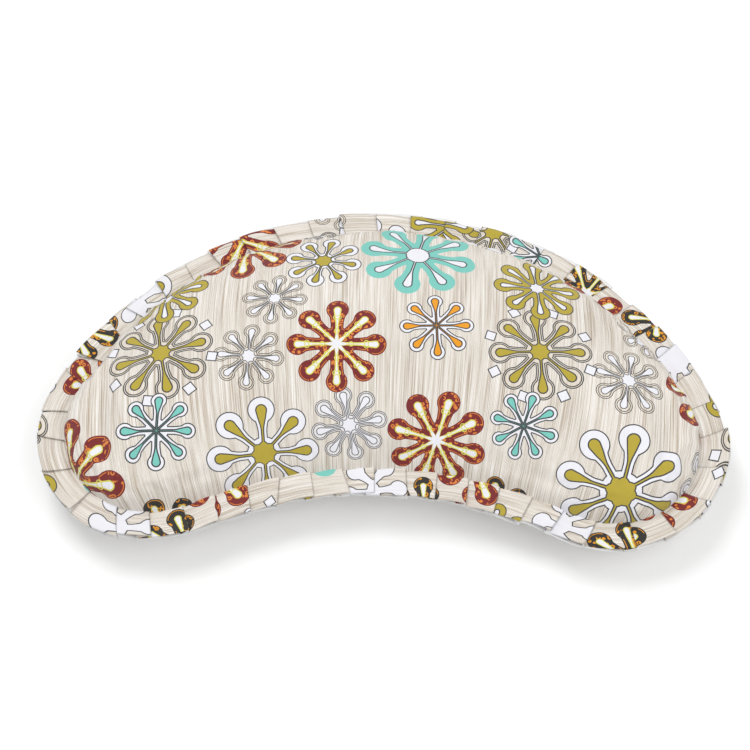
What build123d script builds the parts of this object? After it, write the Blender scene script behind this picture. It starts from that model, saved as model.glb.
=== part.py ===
from build123d import *

import os
from math import atan2, cos, degrees, radians, sin, sqrt

# Half-moon nursing pillow: a zipped, frilled cotton cover over a separate stuffed cushion.
# Millimetres. +X runs from end to end, +Y from the waist hollow to the round back, +Z up.
# The origin is on the surface the pillow lies on, under the middle of its bounding box.

os.makedirs("parts", exist_ok=True)

# --- Plan of the cover, at the seam where the frill is sewn in -----------------------------------
BACK_RADIUS = 313.0  # round back
END_RADIUS = 85.5  # each round end
FRONT_RADIUS = 389.0  # hollow that goes round the waist
END_SPACING = 419.0  # between the centres of the two round ends
FRILL_WIDTH = 25.0  # how far the printed frill stands out of the seam
LINING_PROUD = 2.0  # how far the white lining shows past the printed frill

# --- Section of the cover: part of an ellipse, from its steep start at the seam to a level crown ---
SEAM_HEIGHT = 48.0
TOP_RISE = 56.0  # seam to crown
SEAM_ANGLE = 25.0  # where on the ellipse the cloth leaves the seam
CROWN_ANGLE = 76.0  # where it turns into the level crown, or the level base
TOP_RUN = 110.0  # half axis of the upper ellipse along the ground
BASE_RUN = 90.0  # and of the lower one
DOME_STEPS = 6

# --- Cloth -----------------------------------------------------------------------------------------
CLOTH = 1.0  # cover cloth, with its nap
FRILL_CLOTH = 0.9
SEAM_GAP = 1.0  # half the height of the seam that holds the two layers of the frill
SEAM_ALLOWANCE = 4.5
JOIN_GAP = 0.2  # between two cut edges that are sewn to each other
CASE_CLOTH = 0.8
CUSHION_SLACK = 5.0  # the cushion's rim stays this far inside the cover's
LAYER_GAP = 0.4  # between the cover, the cushion's case and the filling

# --- Where the lengths of the frill are joined, as angles round the middle of the body ------------
FRILL_LENGTHS = {
    "right_end": (-55, 15),
    "back_right": (15, 90),
    "back_left": (90, 165),
    "left_end": (165, 235),
    "front": (235, 305),
}

# --- Zip, let into the lower cloth along the round back --------------------------------------------
ZIP_ANGLE = 42.0  # where on the section's ellipse it lies
ZIP_HALF_SWEEP = 40.0  # degrees of the back's arc, each side of the middle
TAPE_WIDTH = 8.0  # of one tape, from its sewn edge to the chain
TAPE_CLOTH = 0.8
SLIT = 0.6  # half the gap between the two rows of teeth
TOOTH_PITCH = 2.6
TOOTH_LENGTH = 1.5
TOOTH_REACH = 2.3
TOOTH_HEIGHT = 1.3
TAPE_END = 2.2  # degrees of bare tape past each end of the chain
STOP_LENGTH = 3.0
STOP_HEIGHT = 1.6
STOP_REACH = 2.6
END_PLAY = 0.4  # between the slider and a stop, and a stop and the last tooth

# --- Slider and its pull ---------------------------------------------------------------------------
SLIDER_LENGTH = 10.0
PLATE = 1.1
RUNNING_GAP = 0.35
WING = 0.9  # thickness of the edges that fold down beside the teeth
NECK = 0.25  # half the thickness of the neck that joins the two plates
NECK_LENGTH = 3.0
PIN_RADIUS = 0.7
PIN_CLEARANCE = 0.08
PIN_HEIGHT = 4.7  # over the cloth
LUG_LENGTH = 3.2
LUG_THICKNESS = 0.9
LUG_INSIDE = 1.9  # from the slider's middle to a lug
PULL_LENGTH = 24.0
PULL_NECK = 3.2
PULL_WIDTH = 6.4
PULL_THICKNESS = 1.3
GRIP_MIDDLE = 15.6  # from the pin to the middle of the pull's wide part
GRIP_LENGTH = 16.8
GRIP_CORNER = 2.1
BARREL_RADIUS = 1.5  # of the eye that turns on the pin
SIDE_PLAY = 0.2  # between the eye and each lug

# --- Care label, sewn under the frill beside the zip -----------------------------------------------
LABEL_ANGLE = 141.0
LABEL_WIDTH = 26.0
LABEL_DROP = 32.0
LABEL_CLOTH = 0.6
LABEL_STAND_OFF = 1.0  # from the seam, out under the frill

# --- What follows from the sizes above -------------------------------------------------------------
END_X = END_SPACING / 2
END_OVER_BACK = sqrt((BACK_RADIUS - END_RADIUS) ** 2 - END_X**2)
FRONT_BELOW_END = sqrt((FRONT_RADIUS + END_RADIUS) ** 2 - END_X**2)
OUTSET = FRILL_WIDTH + LINING_PROUD
BACK_Y = (OUTSET + END_RADIUS - END_OVER_BACK - BACK_RADIUS - OUTSET) / 2  # centre of the back's arc
END_Y = BACK_Y + END_OVER_BACK
FRONT_Y = END_Y - FRONT_BELOW_END
BODY_Y = (BACK_Y + BACK_RADIUS + FRONT_Y + FRONT_RADIUS) / 2  # middle of the body on the centre line
BACK_TANGENT = degrees(atan2(END_OVER_BACK, END_X))
FRONT_TANGENT = degrees(atan2(FRONT_BELOW_END, END_X))
END_SWEEP = BACK_TANGENT + 180 - FRONT_TANGENT
UPPER_PLANE = SEAM_HEIGHT + SEAM_GAP
LOWER_PLANE = SEAM_HEIGHT - SEAM_GAP


def crescent(inset, height):
    """The plan outline, moved in by inset, at this height: four arcs that meet smoothly."""
    with BuildSketch(Plane.XY.offset(height)) as outline:
        with BuildLine():
            CenterArc((0, BACK_Y), BACK_RADIUS - inset, BACK_TANGENT, 180 - 2 * BACK_TANGENT)
            CenterArc((-END_X, END_Y), END_RADIUS - inset, 180 - BACK_TANGENT, END_SWEEP)
            CenterArc((0, FRONT_Y), FRONT_RADIUS + inset, 180 - FRONT_TANGENT, 2 * FRONT_TANGENT - 180)
            CenterArc((END_X, END_Y), END_RADIUS - inset, FRONT_TANGENT - 180, END_SWEEP)
        make_face()
    return outline.sketch


def section_point(angle, run, rise):
    """How far in from the seam, and how far from the seam's plane, the section is at this angle."""
    start, end = sin(radians(SEAM_ANGLE)), sin(radians(CROWN_ANGLE))
    inset = run * (cos(radians(SEAM_ANGLE)) - cos(radians(angle)))
    return inset, rise * (sin(radians(angle)) - start) / (end - start)


def section_normal(angle, run, rise):
    """The section's unit normal, into the pillow: its share inwards and its share to the seam's plane."""
    near = section_point(angle - 0.5, run, rise)
    far = section_point(angle + 0.5, run, rise)
    along, up = far[0] - near[0], far[1] - near[1]
    length = sqrt(along**2 + up**2)
    return up / length, along / length


def dome(run, rise, plane, side, skin=0.0, slack=0.0):
    """A domed solid on the seam's plane, up for side 1 and down for -1, skin under the cover's outside."""
    with BuildPart() as solid:
        for step in range(DOME_STEPS + 1):
            angle = SEAM_ANGLE + (CROWN_ANGLE - SEAM_ANGLE) * step / DOME_STEPS
            inset, height = section_point(angle, run, rise)
            inwards, back = section_normal(angle, run, rise)
            if step == 0:
                inset = inset + skin / inwards
            elif step == DOME_STEPS:
                height = height - skin
            else:
                inset, height = inset + skin * inwards, height - skin * back
            add(crescent(inset + slack * (1 - height / rise), plane + side * height))
        loft()
    return solid.part


def sector(centre_y, start, sweep, low, high):
    """An upright wedge round the point (0, centre_y), reaching far past the cover."""
    reach = 3 * BACK_RADIUS
    with BuildPart() as wedge:
        with BuildSketch(Plane((0, centre_y, low))):
            with BuildLine():
                rim = CenterArc((0, 0), reach, start, sweep)
                Line((0, 0), rim @ 0)
                Line(rim @ 1, (0, 0))
            make_face()
        extrude(amount=high - low)
    return wedge.part


def frill_ring(outset, low, high):
    """A flat ring of cloth from its seam allowance out to outset past the seam."""
    with BuildPart() as ring:
        add(crescent(-outset, low))
        extrude(amount=high - low)
        add(crescent(SEAM_ALLOWANCE, low))
        extrude(amount=high - low, mode=Mode.SUBTRACT)
    return ring.part


def save(part, name):
    part.label = name
    export_step(part, f"parts/{name}.step")
    print(f"{name}: {len(part.solids())} solids, {part.volume:.0f} mm3")


# --- Cover: printed upper cloth --------------------------------------------------------------------
UPPER_RISE = TOP_RISE - SEAM_GAP
upper_outside = dome(TOP_RUN, UPPER_RISE, UPPER_PLANE, 1)
upper_inside = dome(TOP_RUN, UPPER_RISE, UPPER_PLANE, 1, skin=CLOTH)

with BuildPart() as top_panel:
    add(upper_outside)
    add(upper_inside, mode=Mode.SUBTRACT)
save(top_panel.part, "top_panel")

# --- Zip: its line on the outside of the lower cloth, and the directions there ----------------------
LOWER_RISE = SEAM_HEIGHT - SEAM_GAP
ZIP_INSET, ZIP_DEPTH = section_point(ZIP_ANGLE, BASE_RUN, LOWER_RISE)
ZIP_RADIUS = BACK_RADIUS - ZIP_INSET
ZIP_HEIGHT = LOWER_PLANE - ZIP_DEPTH
OUTWARDS, DOWNWARDS = section_normal(ZIP_ANGLE, BASE_RUN, LOWER_RISE)
ZIP_START = 90 - ZIP_HALF_SWEEP
ZIP_SWEEP = 2 * ZIP_HALF_SWEEP
TAPE_REACH = SLIT + TAPE_WIDTH
CHAIN_START = ZIP_START + TAPE_END


def arc_degrees(length):
    """The angle that this length takes along the zip."""
    return degrees(length / ZIP_RADIUS)


def zip_plane(angle):
    """On the zip's line at this angle: +X along it, +Y up the cloth to the seam, +Z out of the cloth."""
    turn = radians(angle)
    return Plane(
        origin=(ZIP_RADIUS * cos(turn), BACK_Y + ZIP_RADIUS * sin(turn), ZIP_HEIGHT),
        x_dir=(-sin(turn), cos(turn), 0),
        z_dir=(OUTWARDS * cos(turn), OUTWARDS * sin(turn), -DOWNWARDS),
    )


def zip_band(start, sweep, low_edge, high_edge, inner, outer):
    """A solid swept along the zip: low_edge to high_edge up the cloth, and inner to outer out of it."""
    turn = radians(start)
    corners = [(low_edge, inner), (high_edge, inner), (high_edge, outer), (low_edge, outer)]
    points = []
    for up, out in corners:
        away = ZIP_RADIUS + DOWNWARDS * up + OUTWARDS * out
        height = ZIP_HEIGHT + OUTWARDS * up - DOWNWARDS * out
        points.append((away, height))
    upright = Plane((0, BACK_Y, 0), x_dir=(cos(turn), sin(turn), 0), z_dir=(sin(turn), -cos(turn), 0))
    with BuildPart() as band:
        with BuildSketch(upright):
            with BuildLine():
                Polyline(*points, close=True)
            make_face()
        revolve(axis=Axis((0, BACK_Y, 0), (0, 0, 1)), revolution_arc=sweep)
    return band.part


# --- Cover: plain lower cloth, with the slot for the zip ---------------------------------------------
lower_outside = dome(BASE_RUN, LOWER_RISE, LOWER_PLANE, -1)
lower_inside = dome(BASE_RUN, LOWER_RISE, LOWER_PLANE, -1, skin=CLOTH)
slot_edge = TAPE_REACH + JOIN_GAP
slot_margin = arc_degrees(JOIN_GAP)
zip_slot = zip_band(
    ZIP_START - slot_margin, ZIP_SWEEP + 2 * slot_margin, -slot_edge, slot_edge, -4 * CLOTH, 4 * CLOTH
)

with BuildPart() as bottom_panel:
    add(lower_outside)
    add(lower_inside, mode=Mode.SUBTRACT)
    add(zip_slot, mode=Mode.SUBTRACT)
save(bottom_panel.part, "bottom_panel")

# --- Frill: printed cloth above, white lining below, each in five lengths joined end to end ---------
half_gap = degrees(JOIN_GAP / BACK_RADIUS) / 2
frill_layers = {
    "frill": frill_ring(FRILL_WIDTH, SEAM_HEIGHT + SEAM_GAP - FRILL_CLOTH, SEAM_HEIGHT + SEAM_GAP),
    "frill_lining": frill_ring(OUTSET, SEAM_HEIGHT - SEAM_GAP, SEAM_HEIGHT - SEAM_GAP + FRILL_CLOTH),
}
for layer, ring in frill_layers.items():
    for place, (start, end) in FRILL_LENGTHS.items():
        wedge = sector(BODY_Y, start + half_gap, end - start - 2 * half_gap, 0, SEAM_HEIGHT + TOP_RISE)
        with BuildPart() as length:
            add(ring)
            add(wedge, mode=Mode.INTERSECT)
        save(length.part, f"{layer}_{place}")

# --- Cushion: a plain case in two halves round the filling ------------------------------------------
case_skin = CLOTH + LAYER_GAP
case_inner = case_skin + CASE_CLOTH
fill_skin = case_inner + LAYER_GAP
halves = {"top": (TOP_RUN, TOP_RISE, 1), "bottom": (BASE_RUN, SEAM_HEIGHT, -1)}
fill_halves = []
for half, (run, rise, side) in halves.items():
    plane = SEAM_HEIGHT + side * JOIN_GAP / 2
    case_outside = dome(run, rise - JOIN_GAP / 2, plane, side, case_skin, CUSHION_SLACK)
    case_inside = dome(run, rise - JOIN_GAP / 2, plane, side, case_inner, CUSHION_SLACK)
    with BuildPart() as case:
        add(case_outside)
        add(case_inside, mode=Mode.SUBTRACT)
    save(case.part, f"inner_case_{half}")
    fill_halves.append(dome(run, rise, SEAM_HEIGHT, side, fill_skin, CUSHION_SLACK))

with BuildPart() as fibre_filling:
    add(fill_halves)
save(fibre_filling.part, "fibre_filling")

# --- Zip: two tapes, two rows of teeth, and the stops at both ends -----------------------------------
chain_sweep = ZIP_SWEEP - 2 * TAPE_END
teeth_start = CHAIN_START + arc_degrees(STOP_LENGTH + END_PLAY + TOOTH_LENGTH / 2)
teeth_sweep = chain_sweep - 2 * arc_degrees(STOP_LENGTH + END_PLAY + TOOTH_LENGTH / 2)
tooth_count = int(teeth_sweep / arc_degrees(TOOTH_PITCH))

for row, side in {"upper": 1, "lower": -1}.items():
    edges = sorted((side * SLIT, side * TAPE_REACH))
    tape = zip_band(ZIP_START, ZIP_SWEEP, edges[0], edges[1], -TAPE_CLOTH, 0)
    save(tape, f"zip_tape_{row}")

    shift = TOOTH_PITCH / 4 * side + TOOTH_PITCH / 4
    with BuildPart() as teeth:
        for number in range(tooth_count):
            angle = teeth_start + arc_degrees(number * TOOTH_PITCH + shift)
            with BuildSketch(zip_plane(angle)):
                with Locations((0, side * (SLIT + TOOTH_REACH / 2))):
                    Rectangle(TOOTH_LENGTH, TOOTH_REACH)
        extrude(amount=TOOTH_HEIGHT)
    save(teeth.part, f"zip_teeth_{row}")

stop_sweep = arc_degrees(STOP_LENGTH)
stop_edge = SLIT + STOP_REACH
with BuildPart() as top_stops:
    add(zip_band(CHAIN_START, stop_sweep, SLIT, stop_edge, 0, STOP_HEIGHT))
    add(zip_band(CHAIN_START, stop_sweep, -stop_edge, -SLIT, 0, STOP_HEIGHT))
save(top_stops.part, "zip_top_stops")

far_stop = CHAIN_START + chain_sweep - stop_sweep
save(zip_band(far_stop, stop_sweep, -stop_edge, stop_edge, 0, STOP_HEIGHT), "zip_bottom_stop")

# --- Slider: two plates joined by a neck, wings beside the teeth, lugs and a pin for the pull --------
slider_sweep = arc_degrees(SLIDER_LENGTH)
slider_start = CHAIN_START + stop_sweep + arc_degrees(END_PLAY)
slider_middle = slider_start + slider_sweep / 2
ceiling = STOP_HEIGHT + RUNNING_GAP
roof = ceiling + PLATE
wing_inside = SLIT + TOOTH_REACH + RUNNING_GAP
slider_edge = wing_inside + WING
floor_top = -TAPE_CLOTH - RUNNING_GAP
slider_shapes = [
    zip_band(slider_start, slider_sweep, -slider_edge, slider_edge, ceiling, roof),
    zip_band(slider_start, slider_sweep, -slider_edge, slider_edge, floor_top - PLATE, floor_top),
    zip_band(slider_start, slider_sweep, wing_inside, slider_edge, RUNNING_GAP, ceiling),
    zip_band(slider_start, slider_sweep, -slider_edge, -wing_inside, RUNNING_GAP, ceiling),
    zip_band(slider_start, arc_degrees(NECK_LENGTH), -NECK, NECK, floor_top, ceiling),
]
pull_plane = zip_plane(slider_middle)
lug_middle = LUG_INSIDE + LUG_THICKNESS / 2
pin_side = Plane(origin=pull_plane.origin, x_dir=pull_plane.x_dir, z_dir=pull_plane.y_dir)

with BuildPart() as slider:
    add(slider_shapes)
    with BuildSketch(pull_plane.offset(roof - PLATE / 2)):
        with Locations((0, lug_middle), (0, -lug_middle)):
            Rectangle(LUG_LENGTH, LUG_THICKNESS)
    extrude(amount=PIN_HEIGHT + LUG_LENGTH / 2 - roof + PLATE / 2)
    with BuildSketch(pin_side):
        with Locations((0, -PIN_HEIGHT)):
            Circle(PIN_RADIUS)
    extrude(amount=lug_middle, both=True)
save(slider.part, "zip_slider")

barrel = pull_plane.offset(PIN_HEIGHT)
barrel_side = Plane(origin=barrel.origin, x_dir=barrel.x_dir, z_dir=barrel.y_dir)
plate_start = BARREL_RADIUS / 2

with BuildPart() as pull:
    with BuildSketch(barrel_side):
        Circle(BARREL_RADIUS)
    extrude(amount=LUG_INSIDE - SIDE_PLAY, both=True)
    with BuildSketch(barrel.offset(-PULL_THICKNESS / 2)):
        with Locations((plate_start + PULL_LENGTH / 4, 0)):
            Rectangle(PULL_LENGTH / 2, PULL_NECK)
        with Locations((GRIP_MIDDLE, 0)):
            RectangleRounded(GRIP_LENGTH, PULL_WIDTH, GRIP_CORNER)
    extrude(amount=PULL_THICKNESS)
    with BuildSketch(barrel_side):
        Circle(PIN_RADIUS + PIN_CLEARANCE)
    extrude(amount=PULL_WIDTH, both=True, mode=Mode.SUBTRACT)
save(pull.part, "zip_pull")

# --- Care label: a plain tag that hangs from the seam, under the frill -------------------------------
label_turn = radians(LABEL_ANGLE)
label_radius = BACK_RADIUS + LABEL_STAND_OFF
label_plane = Plane(
    origin=(label_radius * cos(label_turn), BACK_Y + label_radius * sin(label_turn), LOWER_PLANE),
    x_dir=(-sin(label_turn), cos(label_turn), 0),
    z_dir=(cos(label_turn), sin(label_turn), 0),
)

with BuildPart() as care_label:
    with BuildSketch(label_plane):
        with Locations((0, -LABEL_DROP / 2)):
            Rectangle(LABEL_WIDTH, LABEL_DROP)
    extrude(amount=LABEL_CLOTH)
save(care_label.part, "care_label")

# --- What the joints, the mount and the openings need -------------------------------------------------
travel = far_stop - arc_degrees(END_PLAY) - slider_start - slider_sweep
print("slider: centre of its arc", (0, BACK_Y), "travel in degrees", round(travel, 2))
print("pull: pin", barrel.origin, "axis", -barrel.y_dir)
print("middle of the level base", (0, BODY_Y))
print("deepest point of the hollow", FRONT_Y + FRONT_RADIUS - OUTSET)
print("the ends reach", END_Y - END_RADIUS - OUTSET)
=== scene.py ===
# %% [markdown]
# # A half-moon nursing pillow
#
# A nursing pillow is a stuffed half-moon that goes round the waist. This one has a cotton cover
# with a large floral print, a narrow pleated frill sewn in all round the seam, and a zip in its
# plain underside. The pillow's design (sizes, zip, joints) comes in as a fixed frame. This file
# makes what is soft or printed: the stuffed cloth, the pleats, the lining and the print.
#
# Everything is in metres, with +X from end to end, +Y to the round back and +Z up.

# %% Load the frame
import math

import bpy
import numpy as np
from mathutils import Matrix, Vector
from mathutils.geometry import delaunay_2d_cdt


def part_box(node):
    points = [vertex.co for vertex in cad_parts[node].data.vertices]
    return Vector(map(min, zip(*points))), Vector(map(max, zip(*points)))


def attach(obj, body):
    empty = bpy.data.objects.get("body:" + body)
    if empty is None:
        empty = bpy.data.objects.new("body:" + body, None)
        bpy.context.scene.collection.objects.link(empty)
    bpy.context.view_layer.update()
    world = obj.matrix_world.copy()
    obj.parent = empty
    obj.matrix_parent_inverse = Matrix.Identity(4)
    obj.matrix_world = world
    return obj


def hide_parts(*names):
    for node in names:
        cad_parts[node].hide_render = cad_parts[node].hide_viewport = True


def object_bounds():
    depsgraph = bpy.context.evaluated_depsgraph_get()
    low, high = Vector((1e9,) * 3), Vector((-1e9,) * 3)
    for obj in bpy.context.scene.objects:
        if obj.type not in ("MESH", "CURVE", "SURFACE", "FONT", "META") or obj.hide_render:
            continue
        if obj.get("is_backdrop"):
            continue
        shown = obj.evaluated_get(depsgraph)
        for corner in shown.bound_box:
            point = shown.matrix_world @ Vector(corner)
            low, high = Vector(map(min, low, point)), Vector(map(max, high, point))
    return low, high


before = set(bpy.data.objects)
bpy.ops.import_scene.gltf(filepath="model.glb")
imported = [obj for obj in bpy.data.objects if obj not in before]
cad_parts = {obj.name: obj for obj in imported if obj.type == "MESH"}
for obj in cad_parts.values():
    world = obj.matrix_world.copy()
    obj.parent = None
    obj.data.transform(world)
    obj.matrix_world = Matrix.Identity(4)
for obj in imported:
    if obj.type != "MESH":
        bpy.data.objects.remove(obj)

cad_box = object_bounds()
print("frame box", [[round(value, 4) for value in corner] for corner in cad_box])

# %% [markdown]
# ## Node trees that read like sums
#
# Both the frill's shape and the print are formulas. Written as single nodes they would fill pages,
# so a small class lets a socket stand in a sum: `a * 2 + b` adds the two Math nodes and their links.


# %% Sockets that can stand in a sum
class Socket:
    """A node's output that can be added, multiplied and compared, each time with one Math node."""

    def __init__(self, tree, output):
        self.tree = tree
        self.output = output

    def maths(self, operation, *others):
        return maths(self.tree, operation, self, *others)

    def __add__(self, other):
        return self.maths("ADD", other)

    def __sub__(self, other):
        return self.maths("SUBTRACT", other)

    def __mul__(self, other):
        return self.maths("MULTIPLY", other)

    def __truediv__(self, other):
        return self.maths("DIVIDE", other)

    def __gt__(self, other):
        return self.maths("GREATER_THAN", other)

    def __lt__(self, other):
        return self.maths("LESS_THAN", other)

    def __rsub__(self, other):
        return maths(self.tree, "SUBTRACT", other, self)

    def __rtruediv__(self, other):
        return maths(self.tree, "DIVIDE", other, self)

    __radd__ = __add__
    __rmul__ = __mul__


def give(tree, socket, value):
    """Links a Socket to a node's input, or sets the input to a plain value."""
    if isinstance(value, Socket):
        tree.links.new(value.output, socket)
    else:
        socket.default_value = value


def node(tree, kind, inputs=None, **settings):
    """Adds a node, sets its settings, then gives its inputs by name or number."""
    made = tree.nodes.new(kind)
    for name, value in settings.items():
        setattr(made, name, value)
    for key, value in (inputs or {}).items():
        give(tree, made.inputs[key], value)
    return made


def maths(tree, operation, *values):
    made = node(tree, "ShaderNodeMath", dict(enumerate(values)), operation=operation)
    return Socket(tree, made.outputs[0])


def smooth_step(tree, value, low, high):
    """0 below low, 1 above high and a smooth ramp between."""
    made = node(
        tree, "ShaderNodeMapRange", {0: value, 1: low, 2: high}, interpolation_type="SMOOTHSTEP"
    )
    return Socket(tree, made.outputs[0])


def vector(tree, x, y, z=0.0):
    return Socket(tree, node(tree, "ShaderNodeCombineXYZ", {0: x, 1: y, 2: z}).outputs[0])


def components(tree, value):
    made = node(tree, "ShaderNodeSeparateXYZ", {0: value})
    return [Socket(tree, output) for output in made.outputs]


def vector_maths(tree, operation, *values):
    made = node(tree, "ShaderNodeVectorMath", dict(enumerate(values)), operation=operation)
    return Socket(tree, made.outputs["Value" if operation in ("LENGTH", "DOT_PRODUCT") else "Vector"])


def scaled(tree, value, factor):
    made = node(tree, "ShaderNodeVectorMath", {0: value, "Scale": factor}, operation="SCALE")
    return Socket(tree, made.outputs["Vector"])


def mix_colours(tree, factor, first, second, blend="MIX"):
    made = node(tree, "ShaderNodeMix", data_type="RGBA", blend_type=blend)
    give(tree, made.inputs[0], factor)
    give(tree, made.inputs[6], first)
    give(tree, made.inputs[7], second)
    return Socket(tree, made.outputs[2])


def new_tree(kind, name, inputs, outputs):
    """A node group with named inputs and outputs. Returns it and its inputs as Sockets, by name."""
    tree = bpy.data.node_groups.new(name, kind)
    for label, (socket_type, default) in inputs.items():
        made = tree.interface.new_socket(label, in_out="INPUT", socket_type="NodeSocket" + socket_type)
        if default is not None:
            made.default_value = default
    for label, socket_type in outputs.items():
        tree.interface.new_socket(label, in_out="OUTPUT", socket_type="NodeSocket" + socket_type)
    entry = tree.nodes.new("NodeGroupInput")
    return tree, {label: Socket(tree, entry.outputs[label]) for label in inputs}


def finish_tree(tree, **results):
    end = tree.nodes.new("NodeGroupOutput")
    for label, value in results.items():
        give(tree, end.inputs[label.replace("_", " ")], value)


# %% [markdown]
# ## Where the seam runs
#
# In plan the cover is four arcs that meet smoothly: the round back, two round ends and the hollow
# in front. Every soft piece follows that line, so one function gives points on it, evenly spaced,
# with the direction that points out of the pillow at each.

# %% The seam line
BACK_RADIUS = 0.313
END_RADIUS = 0.0855
FRONT_RADIUS = 0.389
END_X = 0.419 / 2

cover_low, cover_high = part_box("top_panel")
SEAM_HEIGHT = (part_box("bottom_panel")[1][2] + cover_low[2]) / 2
BACK_Y = cover_high[1] - BACK_RADIUS
END_Y = cover_low[1] + END_RADIUS
FRONT_Y = END_Y - math.sqrt((FRONT_RADIUS + END_RADIUS) ** 2 - END_X**2)
BACK_TANGENT = math.atan2(END_Y - BACK_Y, END_X)
FRONT_TANGENT = math.atan2(END_Y - FRONT_Y, END_X)
END_SWEEP = BACK_TANGENT + math.pi - FRONT_TANGENT

# Each arc: its centre, its radius, where it starts and how far it turns, counterclockwise round the pillow
SEAM_ARCS = [
    (0, FRONT_Y, FRONT_RADIUS, math.pi - FRONT_TANGENT, 2 * FRONT_TANGENT - math.pi),
    (END_X, END_Y, END_RADIUS, FRONT_TANGENT - math.pi, END_SWEEP),
    (0, BACK_Y, BACK_RADIUS, BACK_TANGENT, math.pi - 2 * BACK_TANGENT),
    (-END_X, END_Y, END_RADIUS, math.pi - BACK_TANGENT, END_SWEEP),
]
SEAM_LENGTH = sum(radius * abs(sweep) for _, _, radius, _, sweep in SEAM_ARCS)


def seam_at(distance):
    """Points on the seam and the outward directions there, at these distances along it."""
    distance = np.asarray(distance, float) % SEAM_LENGTH
    points = np.zeros((len(distance), 2))
    outward = np.zeros((len(distance), 2))
    start = 0.0
    for x, y, radius, first, sweep in SEAM_ARCS:
        length = radius * abs(sweep)
        here = (distance >= start - 1e-9) & (distance <= start + length)
        angle = first + sweep * (distance[here] - start) / length
        direction = np.stack([np.cos(angle), np.sin(angle)], 1)
        points[here] = (x, y) + radius * direction
        outward[here] = direction * np.sign(sweep)
        start += length
    return points, outward


def seam_points(count):
    return seam_at(np.arange(count) * SEAM_LENGTH / count)


print(f"seam {SEAM_LENGTH:.3f} m, at height {SEAM_HEIGHT:.3f} m")

# %% [markdown]
# ## The stuffed body
#
# The cover is two flat cloths sewn together along the seam and blown up by the stuffing. The mesh
# starts as a flat half-moon of even triangles, because cloth folds the same way in every direction
# only where its triangles are even. It is raised to a dome on top and to a flatter dome below,
# where the pillow lies on its own weight. The two sides share the points of the seam.

# %% An even flat mesh inside the seam
CLOTH_STEP = 0.0042


def depth_inside(points):
    """How far each point is inside the seam, negative outside."""
    line, outward = seam_points(1800)
    result = np.empty(len(points))
    for start in range(0, len(points), 2000):
        block = points[start : start + 2000]
        gaps = ((block[:, None, :] - line[None]) ** 2).sum(2)
        nearest = gaps.argmin(1)
        side = ((line[nearest] - block) * outward[nearest]).sum(1)
        result[start : start + 2000] = np.sqrt(gaps.min(1)) * np.sign(side)
    return result


def flat_half_moon():
    """Points, their depth inside the seam and the triangles of the flat cloth."""
    rim, _ = seam_points(round(SEAM_LENGTH / CLOTH_STEP))
    row_step = CLOTH_STEP * math.sqrt(3) / 2
    rows = np.arange(cover_low[1], cover_high[1], row_step)
    columns = np.arange(cover_low[0], cover_high[0], CLOTH_STEP)
    lattice = []
    for number, y in enumerate(rows):
        shift = CLOTH_STEP / 2 * (number % 2)
        lattice.append(np.stack([columns + shift, np.full(len(columns), y)], 1))
    lattice = np.concatenate(lattice)
    lattice = lattice[depth_inside(lattice) > CLOTH_STEP * 0.7]
    points = np.concatenate([rim, lattice])
    edges = [(i, (i + 1) % len(rim)) for i in range(len(rim))]
    made = delaunay_2d_cdt([Vector(p) for p in points], edges, [], 1, 1e-7)
    points = np.array([tuple(p) for p in made[0]])
    triangles = np.array(made[2])
    depth = depth_inside(points)
    depth[depth < CLOTH_STEP * 0.3] = 0.0
    return points, depth, triangles


plan, depth, triangles = flat_half_moon()
print(f"flat cloth: {len(plan)} points, {len(triangles)} triangles")

# %% Raise it to a stuffed dome, and a flatter one below
CROWN = 0.066  # over the seam, at the thickest place
CROWN_RUN = 0.172  # the ridge that this run would reach is rounded off afterwards
CROWN_POWER = 1.55
BASE_RUN = 0.090  # half axis, along the ground, of the ellipse that the lower section is part of
BASE_START, BASE_END = math.radians(25), math.radians(76)  # where on the ellipse the section runs
SEAM_BULK = 0.001


def edges_of(faces):
    return np.unique(np.sort(np.concatenate([faces[:, :2], faces[:, 1:], faces[:, ::2]]), 1), axis=0)


def neighbours_mean(values, edges):
    """For each point, the mean of its neighbours' values."""
    ends = np.concatenate([edges, edges[:, ::-1]])
    columns = values.reshape(len(values), -1)
    counts = np.bincount(ends[:, 0], minlength=len(values))
    sums = [np.bincount(ends[:, 0], column[ends[:, 1]], len(values)) for column in columns.T]
    return (np.stack(sums, 1) / counts[:, None]).reshape(values.shape)


def dome_heights(depth, triangles):
    """Heights over and under the seam. The top's ridge is smoothed, and the seam stays where it is."""
    share = np.clip(1 - depth / CROWN_RUN, 0, 1)
    top = CROWN * np.sqrt(1 - share**CROWN_POWER)
    edges = edges_of(triangles)
    soften = np.clip((depth - 0.02) / 0.05, 0, 1)
    for _ in range(160):
        top = top + soften * (neighbours_mean(top, edges) - top)
    angle = np.arccos(np.clip(math.cos(BASE_START) - depth / BASE_RUN, math.cos(BASE_END), 1))
    share = (np.sin(angle) - math.sin(BASE_START)) / (math.sin(BASE_END) - math.sin(BASE_START))
    base = SEAM_HEIGHT * share + SEAM_BULK * (1 - share) * np.clip(depth / 0.003, 0, 1)
    return top, base


top_height, base_depth = dome_heights(depth, triangles)
print(f"crown {top_height.max() * 1000:.1f} mm over the seam")

# %% [markdown]
# ## Blow it up
#
# Cloth simulation gives the small unevenness of stuffed cotton that a formula can't. The whole body
# is one closed skin, held at its seam and where it lies on the ground. Pressure pushes it out, and
# a negative shrink gives it slightly more cloth than it needs, which puckers along the seam as
# a stuffed cover does. A cap on how far a point may move keeps the size.

# %% Closed skin from the two sides
PRESSURE = 4.0
SPARE_CLOTH = 0.045
MOST_MOVE = 0.012
LAST_FRAME = 16
SWELL_SHARE = 0.35  # how much of the smooth swelling is kept
FOLD_SHARE = 1.0  # and how much of the small folds

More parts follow.
